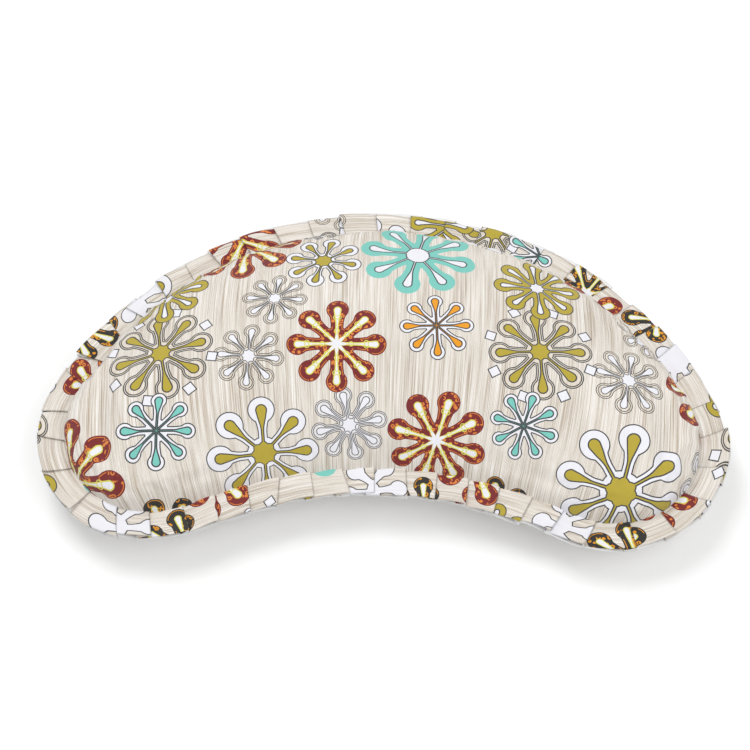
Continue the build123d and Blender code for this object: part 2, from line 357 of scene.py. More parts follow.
on_seam = depth <= 0
inner = np.flatnonzero(~on_seam)
under = np.arange(len(plan))
under[inner] = len(plan) + np.arange(len(inner))
start_points = np.concatenate(
    [
        np.column_stack([plan, SEAM_HEIGHT + top_height]),
        np.column_stack([plan[inner], SEAM_HEIGHT - base_depth[inner]]),
    ]
)
upper_faces = triangles
lower_faces = under[triangles][:, ::-1]
held = np.concatenate([on_seam, depth[inner] > BASE_RUN * 0.6])


def mesh_of(name, points, faces):
    mesh = bpy.data.meshes.new(name)
    mesh.from_pydata([tuple(map(float, p)) for p in points], [], [tuple(map(int, f)) for f in faces])
    mesh.update()
    return mesh


def blow_up(points, faces, held):
    """The points after the cloth simulation, none of them further than MOST_MOVE from where it was."""
    skin = bpy.data.objects.new("skin", mesh_of("skin", points, faces))
    bpy.context.scene.collection.objects.link(skin)
    skin.vertex_groups.new(name="held").add([int(i) for i in np.flatnonzero(held)], 1.0, "REPLACE")
    cloth = skin.modifiers.new("cloth", "CLOTH")
    settings = cloth.settings
    settings.quality = 5
    settings.mass = 0.3
    settings.tension_stiffness = settings.compression_stiffness = 12
    settings.shear_stiffness = 5
    settings.bending_stiffness = 0.3
    settings.air_damping = 2
    settings.vertex_group_mass = "held"
    settings.use_pressure = True
    settings.uniform_pressure_force = PRESSURE
    settings.shrink_min = -SPARE_CLOTH
    settings.effector_weights.gravity = 0
    cloth.collision_settings.use_collision = False
    for frame_number in range(1, LAST_FRAME + 1):
        bpy.context.scene.frame_set(frame_number)
    blown = skin.evaluated_get(bpy.context.evaluated_depsgraph_get())
    flat = np.empty(len(points) * 3)
    blown.data.vertices.foreach_get("co", flat)
    bpy.data.objects.remove(skin)
    bpy.context.scene.frame_set(1)
    move = flat.reshape(-1, 3) - points
    length = np.linalg.norm(move, axis=1, keepdims=True)
    allowed = MOST_MOVE * np.tanh(length / MOST_MOVE)
    return points + move * allowed / np.maximum(length, 1e-9)


skin_faces = np.concatenate([upper_faces, lower_faces])
move = blow_up(start_points, skin_faces, held) - start_points
skin_edges = edges_of(skin_faces)
swell = move
for _ in range(30):
    swell = neighbours_mean(swell, skin_edges)
body_points = start_points + SWELL_SHARE * swell + FOLD_SHARE * (move - swell)
body_points[held] = start_points[held]

# %% Puckers: the seam gathers the cloth into small soft folds, most of all round the two ends
PUCKER = 0.0011
PUCKER_REACH = 0.026
PUCKER_LENGTHS = (0.0125, 0.019, 0.031, 0.047)


def moved_in(points, faces, distance):
    """The skin moved inwards by this distance (one, or one for each point), along normals that are smoothed."""
    corners = points[faces]
    face_normals = np.cross(corners[:, 1] - corners[:, 0], corners[:, 2] - corners[:, 0])
    normals = np.zeros_like(points)
    for column in range(3):
        np.add.at(normals, faces[:, column], face_normals)
    edges = edges_of(faces)
    for _ in range(2):
        normals = neighbours_mean(normals, edges)
    normals /= np.linalg.norm(normals, axis=1, keepdims=True)
    return points - normals * np.broadcast_to(distance, len(points))[:, None]


def along_seam(points):
    """The seam's length up to the place nearest each point."""
    line, _ = seam_points(1800)
    nearest = np.concatenate(
        [((block[:, None, :] - line[None]) ** 2).sum(2).argmin(1) for block in np.array_split(points, 12)]
    )
    return nearest * SEAM_LENGTH / len(line)


pucker_draw = np.random.default_rng(5)
skin_plan = np.concatenate([plan, plan[inner]])
skin_depth = np.concatenate([depth, depth[inner]])
place_on_seam = along_seam(skin_plan)
folds = np.zeros(len(skin_plan))
for length in PUCKER_LENGTHS:
    phase, drift = pucker_draw.uniform(0, 2 * math.pi, 2)
    slow = 1 + 0.6 * np.sin(2 * math.pi * place_on_seam / 0.29 + drift)
    count = round(SEAM_LENGTH / length)
    folds += slow * np.sin(2 * math.pi * place_on_seam * count / SEAM_LENGTH + phase + skin_depth * 60)
rise = np.clip(skin_depth / 0.006, 0, 1)
towards_ends = 0.55 + 0.75 * np.clip(np.abs(skin_plan[:, 0]) / 0.2 - 0.4, 0, 1)
body_points = moved_in(body_points, skin_faces, PUCKER / 2 * folds * rise * towards_ends * np.exp(-skin_depth / PUCKER_REACH))
body_points[len(plan) :][depth[inner] > BASE_RUN * 0.6] = start_points[len(plan) :][depth[inner] > BASE_RUN * 0.6]

# %% The cloth round the zip stays where it was cut, and is let in under the zip
ZIP_RADIUS = 0.298315
ZIP_HEIGHT = 0.025845
ZIP_TURNS = (math.radians(50), math.radians(130))
ZIP_WELL = 0.0028
OUTWARDS, DOWNWARDS = 0.7271, 0.6866  # parts of the cloth's direction outwards, at the zip


def zip_frame(points):
    """How far along the zip (in metres, from its start), up the cloth and out of the cloth each point is."""
    away = np.hypot(points[:, 0], points[:, 1] - BACK_Y) - ZIP_RADIUS
    height = points[:, 2] - ZIP_HEIGHT
    turn = np.arctan2(points[:, 1] - BACK_Y, points[:, 0])
    return (turn - ZIP_TURNS[0]) * ZIP_RADIUS, away * DOWNWARDS + height * OUTWARDS, away * OUTWARDS - height * DOWNWARDS


def ramp_down(value, low, high):
    share = np.clip((value - low) / (high - low), 0, 1)
    return 1 - share * share * (3 - 2 * share)


along, up, out = zip_frame(start_points)
beyond = np.maximum(0, np.maximum(-along, along - (ZIP_TURNS[1] - ZIP_TURNS[0]) * ZIP_RADIUS))
from_zip = np.where(np.abs(out) < 0.02, np.hypot(up, beyond), 1.0)
near_zip = ramp_down(from_zip, 0.014, 0.03)[:, None]
body_points = start_points * near_zip + body_points * (1 - near_zip)
centre_ray = start_points[:, :2] - (0, BACK_Y)
centre_ray /= np.linalg.norm(centre_ray, axis=1, keepdims=True)
let_in = ZIP_WELL * ramp_down(from_zip, 0.005, 0.0125)
body_points[:, :2] -= centre_ray * (OUTWARDS * let_in)[:, None]
body_points[:, 2] += DOWNWARDS * let_in
body_points[:, 2] = np.maximum(body_points[:, 2], 0.0)
moved = np.linalg.norm(body_points - start_points, axis=1)
print(f"blown up: moved {moved.mean() * 1000:.1f} mm on average, {moved.max() * 1000:.1f} mm at most")
print(f"body from {body_points[:, 2].min() * 1000:.1f} to {body_points[:, 2].max() * 1000:.1f} mm high")

# %% [markdown]
# ## The print's place on the cloth
#
# The printed cloth was flat when it was cut. Unwrapping the dome without stretching it more than
# needed finds where each point of the dome lay in that flat cloth. The result is turned and scaled
# to match the plan at the crown, so that the UV map is the flat cloth in metres.

# %% Cut the cover into its two cloths, and unwrap the upper one
FIT_DEPTH = 0.045


def piece(name, mesh):
    made = bpy.data.objects.new(name, mesh)
    bpy.context.scene.collection.objects.link(made)
    return made


def write_flat_map(mesh, flat_points):
    """A UV map in metres of flat cloth, from one place for each vertex."""
    uv = mesh.uv_layers.get("UVMap") or mesh.uv_layers.new(name="UVMap")
    corner_vertices = np.empty(len(mesh.loops), int)
    mesh.loops.foreach_get("vertex_index", corner_vertices)
    uv.data.foreach_set("uv", flat_points[corner_vertices].astype(np.float32).ravel())


def unwrapped(points, faces):
    """Where each point lay in the flat cloth, in metres."""
    dome = bpy.data.objects.new("dome", mesh_of("dome", points, faces))
    bpy.context.scene.collection.objects.link(dome)
    bpy.context.view_layer.objects.active = dome
    dome.select_set(True)
    bpy.ops.object.mode_set(mode="EDIT")
    bpy.ops.mesh.select_all(action="SELECT")
    bpy.ops.uv.unwrap(method="CONFORMAL", margin=0.0)
    bpy.ops.object.mode_set(mode="OBJECT")
    uv = np.empty(len(dome.data.loops) * 2)
    dome.data.uv_layers.active.data.foreach_get("uv", uv)
    corner_vertices = np.empty(len(dome.data.loops), int)
    dome.data.loops.foreach_get("vertex_index", corner_vertices)
    flat = np.zeros((len(points), 2))
    flat[corner_vertices] = uv.reshape(-1, 2)
    bpy.data.objects.remove(dome)
    return flat


def laid_on_plan(flat, plan, weight):
    """Turns, flips, scales and moves the flat map so that it lies best over the plan."""
    chosen = weight > 0
    source, target = flat[chosen], plan[chosen]
    source_middle, target_middle = source.mean(0), target.mean(0)
    u, scales, vt = np.linalg.svd((source - source_middle).T @ (target - target_middle))
    size = scales.sum() / ((source - source_middle) ** 2).sum()
    return (flat - source_middle) @ (u @ vt) * size + target_middle


flat_top = unwrapped(start_points[: len(plan)], upper_faces)
flat_top = laid_on_plan(flat_top, plan, depth > FIT_DEPTH)
reach = np.abs(flat_top).max(0)
print(f"flat upper cloth reaches {reach[0] * 1000:.0f} by {reach[1] * 1000:.0f} mm from the middle")


def subdivided(obj, levels=1):
    """One round of subdivision, made part of the mesh."""
    modifier = obj.modifiers.new("even", "SUBSURF")
    modifier.levels = modifier.render_levels = levels
    modifier.boundary_smooth = "PRESERVE_CORNERS"
    mesh = bpy.data.meshes.new_from_object(obj.evaluated_get(bpy.context.evaluated_depsgraph_get()))
    obj.modifiers.clear()
    obj.data = mesh
    obj.data.name = obj.name
    for polygon in mesh.polygons:
        polygon.use_smooth = True


def cover_cloth(name, faces, flat):
    """One of the cover's two cloths: the part of the body with these faces."""
    used = np.unique(faces)
    renumber = np.full(len(body_points), -1)
    renumber[used] = np.arange(len(used))
    cloth = piece(name, mesh_of(name, body_points[used], renumber[faces]))
    write_flat_map(cloth.data, flat[used])
    subdivided(cloth)
    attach(cloth, "pillow")
    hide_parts(name)
    return cloth


flat_under = np.concatenate([plan, plan[inner]])
flat_body = np.concatenate([flat_top, plan[inner]])
top_cloth = cover_cloth("top_panel", upper_faces, flat_body)
bottom_cloth = cover_cloth("bottom_panel", lower_faces, flat_under)
top_cloth.name, bottom_cloth.name = "upper_cloth", "lower_cloth"
print("cover cloths:", len(top_cloth.data.polygons), len(bottom_cloth.data.polygons), "faces")

# %% [markdown]
# ## The cushion inside
#
# Inside the zipped cover is a separate cushion: a plain case in two halves round polyester fibre.
# It takes the cover's shape from within, so that each layer is the body's skin moved inwards.

# %% Case and filling
COVER_CLOTH = 0.0009
CASE_GAP = 0.0016
FILLING_GAP = 0.003


def inner_piece(name, faces, distance, node_name):
    points = moved_in(body_points, skin_faces, distance)
    used = np.unique(faces)
    renumber = np.full(len(points), -1)
    renumber[used] = np.arange(len(used))
    made = piece(name, mesh_of(name, points[used], renumber[faces]))
    write_flat_map(made.data, flat_under[used])
    for polygon in made.data.polygons:
        polygon.use_smooth = True
    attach(made, "pillow")
    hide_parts(node_name)
    return made


case_top = inner_piece("cushion_case_upper", upper_faces, CASE_GAP, "inner_case_top")
case_bottom = inner_piece("cushion_case_lower", lower_faces, CASE_GAP, "inner_case_bottom")
filling = inner_piece("cushion_filling", skin_faces, FILLING_GAP, "fibre_filling")
print("cushion:", len(filling.data.polygons), "faces of filling")

# %% [markdown]
# ## The floral print
#
# Every flower in the print has the same build: eight petals like drops on stalks round a hub, with
# a second, thinner set of drops inside the first. Folding the circle eight times over puts all
# eight petals on top of each other, so that one petal is enough. A group measures how deep a point
# is inside the outer and the inner drops, in millimetres, and paints what lies at each depth: the
# fill, the thin outline, the ornament and the inner drop. Each flower is that group with its own
# place, size and colours, and the whole print repeats across the cloth.

# %% Colours of the inks
REPEAT_ACROSS = 345.0  # mm
REPEAT_ALONG = 410.0
INKS = {
    "white": (0.82, 0.82, 0.87, 1),
    "olive": (0.46, 0.36, 0.035, 1),
    "maroon": (0.185, 0.013, 0.014, 1),
    "rust": (0.72, 0.22, 0.035, 1),
    "teal": (0.19, 0.57, 0.50, 1),
    "orange": (0.82, 0.33, 0.01, 1),
    "lime": (0.70, 0.66, 0.12, 1),
    "grey": (0.045, 0.047, 0.050, 1),
    "black": (0.022, 0.020, 0.018, 1),
    "cream": (0.74, 0.66, 0.55, 1),
}


# %% How deep a point is inside one drop-shaped petal
def drop_depth(tree, along, across, length, bulb, neck, waist, fullness):
    """Depth inside a round bulb on a stalk, in shares of the flower's radius. The stalk starts at the hub,
    widens from its waist on, and reaches this share of the bulb's width."""
    flare = smooth_step(tree, along, length * waist, length * 0.98)
    stalk_side = neck + flare * fullness * (bulb - neck) - across
    stalk = maths(tree, "MINIMUM", stalk_side, length - along)
    beyond = along - length
    round_end = bulb - maths(tree, "SQRT", beyond * beyond + across * across)
    return maths(tree, "SMOOTH_MAX", stalk, round_end, 0.03)


def distance_to(tree, along, across, at_along, at_across):
    far_along, far_across = along - at_along, across - at_across
    return maths(tree, "SQRT", far_along * far_along + far_across * far_across)


# %% One printed flower
FLOWER_INPUTS = {
    "Cloth": ("Color", (1, 1, 1, 1)),
    "Place": ("Vector", None),
    "Across": ("Float", 0.0),
    "Along": ("Float", 0.0),
    "Radius": ("Float", 50.0),
    "Turn": ("Float", 0.0),
    "Petal bulb": ("Float", 0.2),
    "Petal neck": ("Float", 0.1),
    "Petal hub": ("Float", 0.3),
    "Drop bulb": ("Float", 0.09),
    "Drop neck": ("Float", 0.02),
    "Drop hub": ("Float", 0.18),
    "Fill": ("Color", INKS["white"]),
    "Fill strength": ("Float", 1.0),
    "Line": ("Color", INKS["grey"]),
    "Line width": ("Float", 0.5),
    "Echo": ("Float", 0.0),
    "Ornament": ("Color", INKS["rust"]),
    "Ornament strength": ("Float", 0.0),
    "Drop": ("Color", INKS["olive"]),
    "Drop strength": ("Float", 1.0),
    "Drop line": ("Color", INKS["grey"]),
    "Tiles": ("Float", 0.0),
    "Hub points": ("Float", 0.2),
    "Curls": ("Float", 0.0),
}


def printed_flower_group():
    tree, given = new_tree("ShaderNodeTree", "printed flower", FLOWER_INPUTS, {"Colour": "Color"})
    place_x, place_y, _ = components(tree, given["Place"])
    across = maths(tree, "WRAP", place_x - given["Across"], REPEAT_ACROSS / 2, -REPEAT_ACROSS / 2)
    along = maths(tree, "WRAP", place_y - given["Along"], REPEAT_ALONG / 2, -REPEAT_ALONG / 2)
    radius = given["Radius"]
    spoke = maths(tree, "SQRT", across * across + along * along) / radius
    eighth = math.pi / 8
    turned = maths(tree, "ARCTAN2", along, across) - given["Turn"]
    folded = maths(tree, "ABSOLUTE", maths(tree, "WRAP", turned, eighth, -eighth))
    out = spoke * maths(tree, "COSINE", folded)
    side = spoke * maths(tree, "SINE", folded)

    petal_length = 1 - given["Petal bulb"]
    petal = drop_depth(tree, out, side, petal_length, given["Petal bulb"], given["Petal neck"], 0.5, 0.4)
    petal = maths(tree, "MAXIMUM", petal, given["Petal hub"] - spoke) * radius
    drop = drop_depth(tree, out, side, petal_length, given["Drop bulb"], given["Drop neck"], 0.52, 0.9)
    hub = given["Drop hub"] * (1 + given["Hub points"] * (0.5 - folded / eighth))
    drop = maths(tree, "MAXIMUM", drop, hub - spoke) * radius

    # Small tiles stand between the petals of some flowers
    tile_turn = eighth - folded
    tile_out = maths(tree, "ABSOLUTE", spoke * maths(tree, "COSINE", tile_turn) - 1.0)
    tile_side = spoke * maths(tree, "SINE", tile_turn)
    tile = (0.095 - maths(tree, "MAXIMUM", tile_out, tile_side)) * radius
    tile = tile * given["Tiles"] - (1 - given["Tiles"]) * 9

    # The ornament is small rings in some places and a line inside the rim in others
    cells = node(tree, "ShaderNodeTexVoronoi", {"Vector": given["Place"], "Scale": 0.23})
    ring = maths(tree, "ABSOLUTE", Socket(tree, cells.outputs["Distance"]) - 0.32) < 0.12
    patches = node(tree, "ShaderNodeTexNoise", {"Vector": given["Place"], "Scale": 0.085, "Detail": 0.0})
    ringed = Socket(tree, patches.outputs[0]) > 0.46
    rim = (maths(tree, "ABSOLUTE", petal - 1.0) < 0.3) * (1 - ringed)
    ornament = maths(tree, "MAXIMUM", ring * ringed, rim) * (petal > 0.3) * given["Ornament strength"]

    # Curls are small rings in the drops and round the hub
    curl = maths(tree, "ABSOLUTE", distance_to(tree, out, side, 0.29, 0.0) - 0.045)
    curl = maths(tree, "MINIMUM", curl, maths(tree, "ABSOLUTE", distance_to(tree, out, side, 0.6, 0.035) - 0.045))
    curls = (curl * radius < 0.4) * given["Curls"]

    line_width = given["Line width"]
    line = maths(tree, "ABSOLUTE", petal) < line_width
    echo = (maths(tree, "ABSOLUTE", petal - 1.6) < line_width) * given["Echo"]
    edge = maths(tree, "MAXIMUM", line, echo) * (line_width > 0.01)
    drop_edge = (maths(tree, "ABSOLUTE", drop) < line_width * 1.15) * given["Drop strength"]

    colour = mix_colours(tree, tile > 0, given["Cloth"], INKS["white"])
    colour = mix_colours(tree, maths(tree, "ABSOLUTE", tile) < line_width, colour, given["Line"])
    colour = mix_colours(tree, (petal > 0) * given["Fill strength"], colour, given["Fill"])
    colour = mix_colours(tree, ornament, colour, given["Ornament"])
    colour = mix_colours(tree, edge, colour, given["Line"])
    colour = mix_colours(tree, (drop > 0) * given["Drop strength"], colour, given["Drop"])
    colour = mix_colours(tree, drop_edge, colour, given["Drop line"])
    colour = mix_colours(tree, curls, colour, INKS["lime"])
    finish_tree(tree, Colour=colour)
    return tree


FLOWER_GROUP = printed_flower_group()
print("flower group:", len(FLOWER_GROUP.nodes), "nodes")

# %% [markdown]
# ### Which flowers, and where
#
# A style is a set of the group's inputs. The list gives the style and the radius of each flower.
# Their places are drawn by a rule with a fixed seed: the biggest flowers first, each where there is
# most room. Later flowers in the list are printed over earlier ones.

# %% Styles and places of the flowers
STYLES = {
    "olive_on_white": {"Fill": "white", "Drop": "olive", "Petal bulb": 0.225, "Petal neck": 0.075, "Drop hub": 0.21},
    "olive_outlined": {
        "Fill": "cream", "Fill strength": 0.55, "Drop": "olive", "Echo": 1.0, "Tiles": 1.0, "Petal bulb": 0.22,
    },
    "maroon": {
        "Fill": "maroon", "Line": "maroon", "Ornament": "rust", "Ornament strength": 1.0, "Drop": "white",
        "Drop line": "lime", "Petal bulb": 0.215, "Petal neck": 0.12, "Petal hub": 0.36, "Drop bulb": 0.065,
        "Drop neck": 0.022, "Drop hub": 0.16, "Hub points": 0.9, "Curls": 1.0,
    },
    "teal": {
        "Fill": "teal", "Line": "teal", "Drop": "white", "Petal bulb": 0.215, "Petal neck": 0.115, "Petal hub": 0.34,
        "Drop bulb": 0.075, "Drop neck": 0.016, "Drop hub": 0.2, "Hub points": 0.0,
    },
    "olive_ring": {
        "Fill": "olive", "Drop": "white", "Petal bulb": 0.22, "Petal neck": 0.12, "Petal hub": 0.36,
        "Drop bulb": 0.07, "Drop neck": 0.02, "Drop hub": 0.16,
    },
    "white": {"Fill": "white", "Drop strength": 0.0, "Petal bulb": 0.21, "Petal neck": 0.085, "Petal hub": 0.36},
    "orange_on_white": {"Fill": "white", "Drop": "orange", "Drop bulb": 0.1, "Drop hub": 0.0},
    "teal_on_white": {"Fill": "white", "Drop": "teal", "Drop bulb": 0.1, "Drop hub": 0.0},
    "amber_on_black": {
        "Fill": "black", "Line": "black", "Ornament": "orange", "Ornament strength": 0.9, "Drop": "white",
        "Drop line": "lime", "Petal bulb": 0.22, "Petal neck": 0.125, "Petal hub": 0.38, "Drop bulb": 0.06, "Drop neck": 0.02,
        "Hub points": 0.5, "Line width": 0.4,
    },
    "drawn": {
        "Fill": "white", "Fill strength": 0.6, "Line": "black", "Echo": 1.0, "Drop": "white", "Petal bulb": 0.22,
        "Line width": 0.36,
    },
    "drawn_dense": {
        "Fill": "white", "Fill strength": 0.3, "Line": "black", "Echo": 1.0, "Drop": "white", "Drop hub": 0.15,
        "Line width": 0.42,
    },
    "drawn_fine": {
        "Fill": "cream", "Fill strength": 0.3, "Line": "black", "Echo": 1.0, "Drop": "white", "Petal bulb": 0.22,
        "Line width": 0.32,
    },
}

# The flowers of one repeat, with their radii in millimetres, in the order in which they are printed
FLOWER_SIZES = [
    ("drawn", 38), ("drawn_fine", 32), ("drawn", 44), ("drawn_dense", 20), ("drawn_fine", 30), ("teal", 34),
    ("teal", 54), ("olive_outlined", 46), ("olive_on_white", 54), ("white", 40), ("teal_on_white", 32),
    ("orange_on_white", 34), ("olive_on_white", 36), ("olive_ring", 40), ("amber_on_black", 41),
    ("drawn_dense", 16), ("maroon", 50), ("maroon", 46), ("maroon", 52),
]
FLOWER_SEED = 3
PLACES_TRIED = 80
MOST_TURN = 14.0  # degrees


def room_at(place, radius, others):
    """The least gap to the flowers already there. The repeat wraps round, so the gap is taken the short way."""
    gaps = []
    for _, across, along, other_radius, _ in others:
        away = np.abs(np.array(place) - (across, along))
        away = np.minimum(away, np.array((REPEAT_ACROSS, REPEAT_ALONG)) - away)
        gaps.append(np.hypot(*away) - radius - other_radius)
    return min(gaps, default=0.0)


def scattered_flowers():
    """Every flower, biggest first, goes to the roomiest of some random places."""
    draw = np.random.default_rng(FLOWER_SEED)
    placed = {}
    for number in sorted(range(len(FLOWER_SIZES)), key=lambda n: -FLOWER_SIZES[n][1]):
        style, radius = FLOWER_SIZES[number]
        tried = draw.uniform((0, 0), (REPEAT_ACROSS, REPEAT_ALONG), (PLACES_TRIED, 2))
        best = max(tried, key=lambda place: room_at(place, radius, placed.values()))
        turn = float(draw.uniform(-MOST_TURN, MOST_TURN))
        placed[number] = (style, float(best[0]), float(best[1]), radius, turn)
    return [placed[number] for number in sorted(placed)]


FLOWERS = scattered_flowers()


def flower_inputs(style):
    """A style's inputs, with the inks' names turned into their colours."""
    return {name: INKS.get(value, value) if isinstance(value, str) else value for name, value in STYLES[style].items()}


def floral_print_group():
    """The whole print: every flower over the bare cloth."""
    tree, given = new_tree(
        "ShaderNodeTree", "floral print", {"Cloth": ("Color", (1, 1, 1, 1)), "Place": ("Vector", None)},
        {"Colour": "Color"},
    )
    colour = given["Cloth"]
    for style, across, along, radius, turn in FLOWERS:
        flower = node(tree, "ShaderNodeGroup", node_tree=FLOWER_GROUP)
        values = {"Across": across, "Along": along, "Radius": radius, "Turn": math.radians(turn)}
        values |= {"Cloth": colour, "Place": given["Place"]} | flower_inputs(style)
        for name, value in values.items():
            give(tree, flower.inputs[name], value)
        colour = Socket(tree, flower.outputs["Colour"])
    finish_tree(tree, Colour=colour)
    return tree


PRINT_GROUP = floral_print_group()
print("print:", len(FLOWERS), "flowers")

# %% [markdown]
# ## Cotton with slubs
#
# The bare cloth is a cream cotton with slubs: threads that are thicker in places, which show as
# thin pale and tan streaks all one way. Noise stretched forty times along the thread gives those
# streaks. Two crossed waves, half a millimetre apart, are the weave; they also darken the colour
# where the weave is low, as painted shade. Both are in millimetres of flat cloth, so that they
# follow the cloth wherever it is folded.


# %% Slub and weave groups
def weave_group():
    """Height of a plain weave, and a painted shade: lighter where the weave stands up, darker where it is low."""
    tree, given = new_tree(
        "ShaderNodeTree", "plain weave",
        {"Place": ("Vector", None), "Thread": ("Float", 0.5)}, {"Height": "Float", "Shade": "Float"},
    )
    x, y, _ = components(tree, given["Place"])
    turn = math.pi / given["Thread"]
    across = maths(tree, "SINE", x * turn)
    along = maths(tree, "SINE", y * turn)
    over = maths(tree, "ABSOLUTE", across * along)
    fuzz = node(tree, "ShaderNodeTexNoise", {"Vector": given["Place"], "Scale": 1.7, "Detail": 2.0})
    height = over * 0.7 + Socket(tree, fuzz.outputs[0]) * 0.5
    # Shade is lighter where the weave stands up and darker where it is low, which is painted shade between the
    # threads, with some random tone from the fuzz.
    finish_tree(tree, Height=height, Shade=0.93 + height * 0.1)
    return tree


def slub_group():
    """Streaks along the second axis: 0 for a dark tan thread, 1 for a thick pale one."""
    tree, given = new_tree("ShaderNodeTree", "slubs", {"Place": ("Vector", None)}, {"Streak": "Float", "Blush": "Float"})
    x, y, _ = components(tree, given["Place"])
    fine = node(tree, "ShaderNodeTexNoise", {"Vector": vector(tree, x * 2.7, y * 0.010), "Scale": 1.0, "Detail": 3.0})
    broad = node(tree, "ShaderNodeTexNoise", {"Vector": vector(tree, x * 0.22, y * 0.012, 7.0), "Scale": 1.0, "Detail": 2.0})
    blush = node(tree, "ShaderNodeTexNoise", {"Vector": vector(tree, x * 0.5, y * 0.008, 3.0), "Scale": 1.0, "Detail": 1.0})
    streak = Socket(tree, fine.outputs[0]) * 0.75 + Socket(tree, broad.outputs[0]) * 0.25
    finish_tree(tree, Streak=streak, Blush=Socket(tree, blush.outputs[0]))
    return tree


WEAVE_GROUP = weave_group()
SLUB_GROUP = slub_group()


def new_material(name, roughness, **settings):
    """A material with a Principled shader, its tree and the shader. Settings stay on the shader's own sockets."""
    material = bpy.data.materials.new(name)
    material.use_nodes = True
    tree = material.node_tree
    shader = tree.nodes["Principled BSDF"]
    shader.inputs["Roughness"].default_value = roughness
    for label, value in settings.items():
        shader.inputs[label.replace("_", " ")].default_value = value
    return material, tree, shader


def flat_cloth_place(tree):
    """The UV map, which is in metres of flat cloth, turned to millimetres."""
    uv = Socket(tree, node(tree, "ShaderNodeUVMap", uv_map="UVMap").outputs[0])
    return scaled(tree, uv, 1000.0)


def group(tree, tree_of_group, **inputs):
    made = node(tree, "ShaderNodeGroup", node_tree=tree_of_group)
    for name, value in inputs.items():
        give(tree, made.inputs[name], value)
    return {output.name: Socket(tree, output) for output in made.outputs}


def bump(tree, shader, height, distance):
    """Bump in metres of relief."""
    made = node(tree, "ShaderNodeBump", {"Height": height, "Distance": distance})
    tree.links.new(made.outputs[0], shader.inputs["Normal"])


def ramp(tree, factor, stops):
    made = node(tree, "ShaderNodeValToRGB", {0: factor})
    elements = made.color_ramp.elements
    while len(elements) < len(stops):
        elements.new(0.5)
    for element, (position, colour) in zip(elements, stops):
        element.position = position
        element.color = colour
    return Socket(tree, made.outputs[0])


# %% The printed cotton
SLUB_COLOURS = [
    (0.39, (0.40, 0.32, 0.24, 1)),
    (0.445, (0.59, 0.52, 0.43, 1)),
    (0.485, (0.70, 0.64, 0.56, 1)),
    (0.505, (0.90, 0.89, 0.87, 1)),
    (0.525, (0.68, 0.62, 0.54, 1)),
    (0.56, (0.75, 0.70, 0.63, 1)),
    (0.62, (0.90, 0.88, 0.85, 1)),
]
BLUSH = (0.74, 0.60, 0.50, 1)


def printed_cotton_material():
    material, tree, shader = new_material("printed cotton", 0.86, Sheen_Weight=0.12, Sheen_Roughness=0.6)
    place = flat_cloth_place(tree)
    slub = group(tree, SLUB_GROUP, Place=place)
    weave = group(tree, WEAVE_GROUP, Place=place)
    cloth = ramp(tree, slub["Streak"], SLUB_COLOURS)
    blushed = smooth_step(tree, slub["Blush"], 0.55, 0.75) * 0.22
    cloth = mix_colours(tree, blushed, cloth, BLUSH)
    printed = group(tree, PRINT_GROUP, Cloth=cloth, Place=place)["Colour"]
    # The print is darkened by the weave's painted shade, darker where the weave is low, and by the slubs' own tone.
    thread = weave["Shade"] * (0.88 + slub["Streak"] * 0.24)
    shade = node(tree, "ShaderNodeCombineColor", {0: thread, 1: thread, 2: thread})
    colour = mix_colours(tree, 1.0, printed, Socket(tree, shade.outputs[0]), blend="MULTIPLY")
    give(tree, shader.inputs["Base Color"], colour)
    bump(tree, shader, weave["Height"] * 0.6 + slub["Streak"] * 1.2, 0.00022)
    return material


def woven_material(name, dark, light, thread, relief, roughness=0.88):
    """A plain woven cloth in one colour."""
    material, tree, shader = new_material(name, roughness, Sheen_Weight=0.1, Sheen_Roughness=0.6)
    place = flat_cloth_place(tree)
    weave = group(tree, WEAVE_GROUP, Place=place, Thread=thread)
    slub = group(tree, SLUB_GROUP, Place=place)
    # Darker where the weave is low, as painted shade between the threads, and varied by the slubs' own tone.
    colour = ramp(tree, weave["Height"] * 0.5 + slub["Streak"] * 0.5, [(0.3, dark), (0.7, light)])
    give(tree, shader.inputs["Base Color"], colour)
    bump(tree, shader, weave["Height"] + slub["Streak"] * 0.5, relief)
    return material


PRINTED_COTTON = printed_cotton_material()
PLAIN_COTTON = woven_material("plain cotton", (0.70, 0.67, 0.62, 1), (0.83, 0.81, 0.77, 1), 0.6, 0.0002)
LINING_COTTON = woven_material("white lining", (0.80, 0.80, 0.80, 1), (0.90, 0.90, 0.90, 1), 0.4, 0.00012)
top_cloth.data.materials.append(PRINTED_COTTON)
bottom_cloth.data.materials.append(PLAIN_COTTON)

# %% [markdown]
# ## The pleated frill
#
# The frill is one long strip of the printed cotton laid in flat knife pleats and sewn into the
# seam, with a white lining under it. In a knife pleat the cloth runs forward by one pitch and
# a fold, then back by the fold, so that three layers lie at each fold. The group below is that
# rule: each point of a flat strip is placed by how far along the cloth it is. Because the cloth's
# own length is kept as the UV map, the print is cut at each fold as on a real pleat.


# %% Pleated strip, along a line on the seam
STEPS_PER_PLEAT = 32
STEPS_ACROSS = 12
FOLD = 0.3  # depth of a fold, in pitches
CLOTH_PER_PLEAT = 1 + 2 * FOLD


def random_per_pleat(tree, number, low, high, seed):
    made = node(tree, "FunctionNodeRandomValue", {2: low, 3: high, 7: number, 8: seed}, data_type="FLOAT")
    return Socket(tree, made.outputs[1])


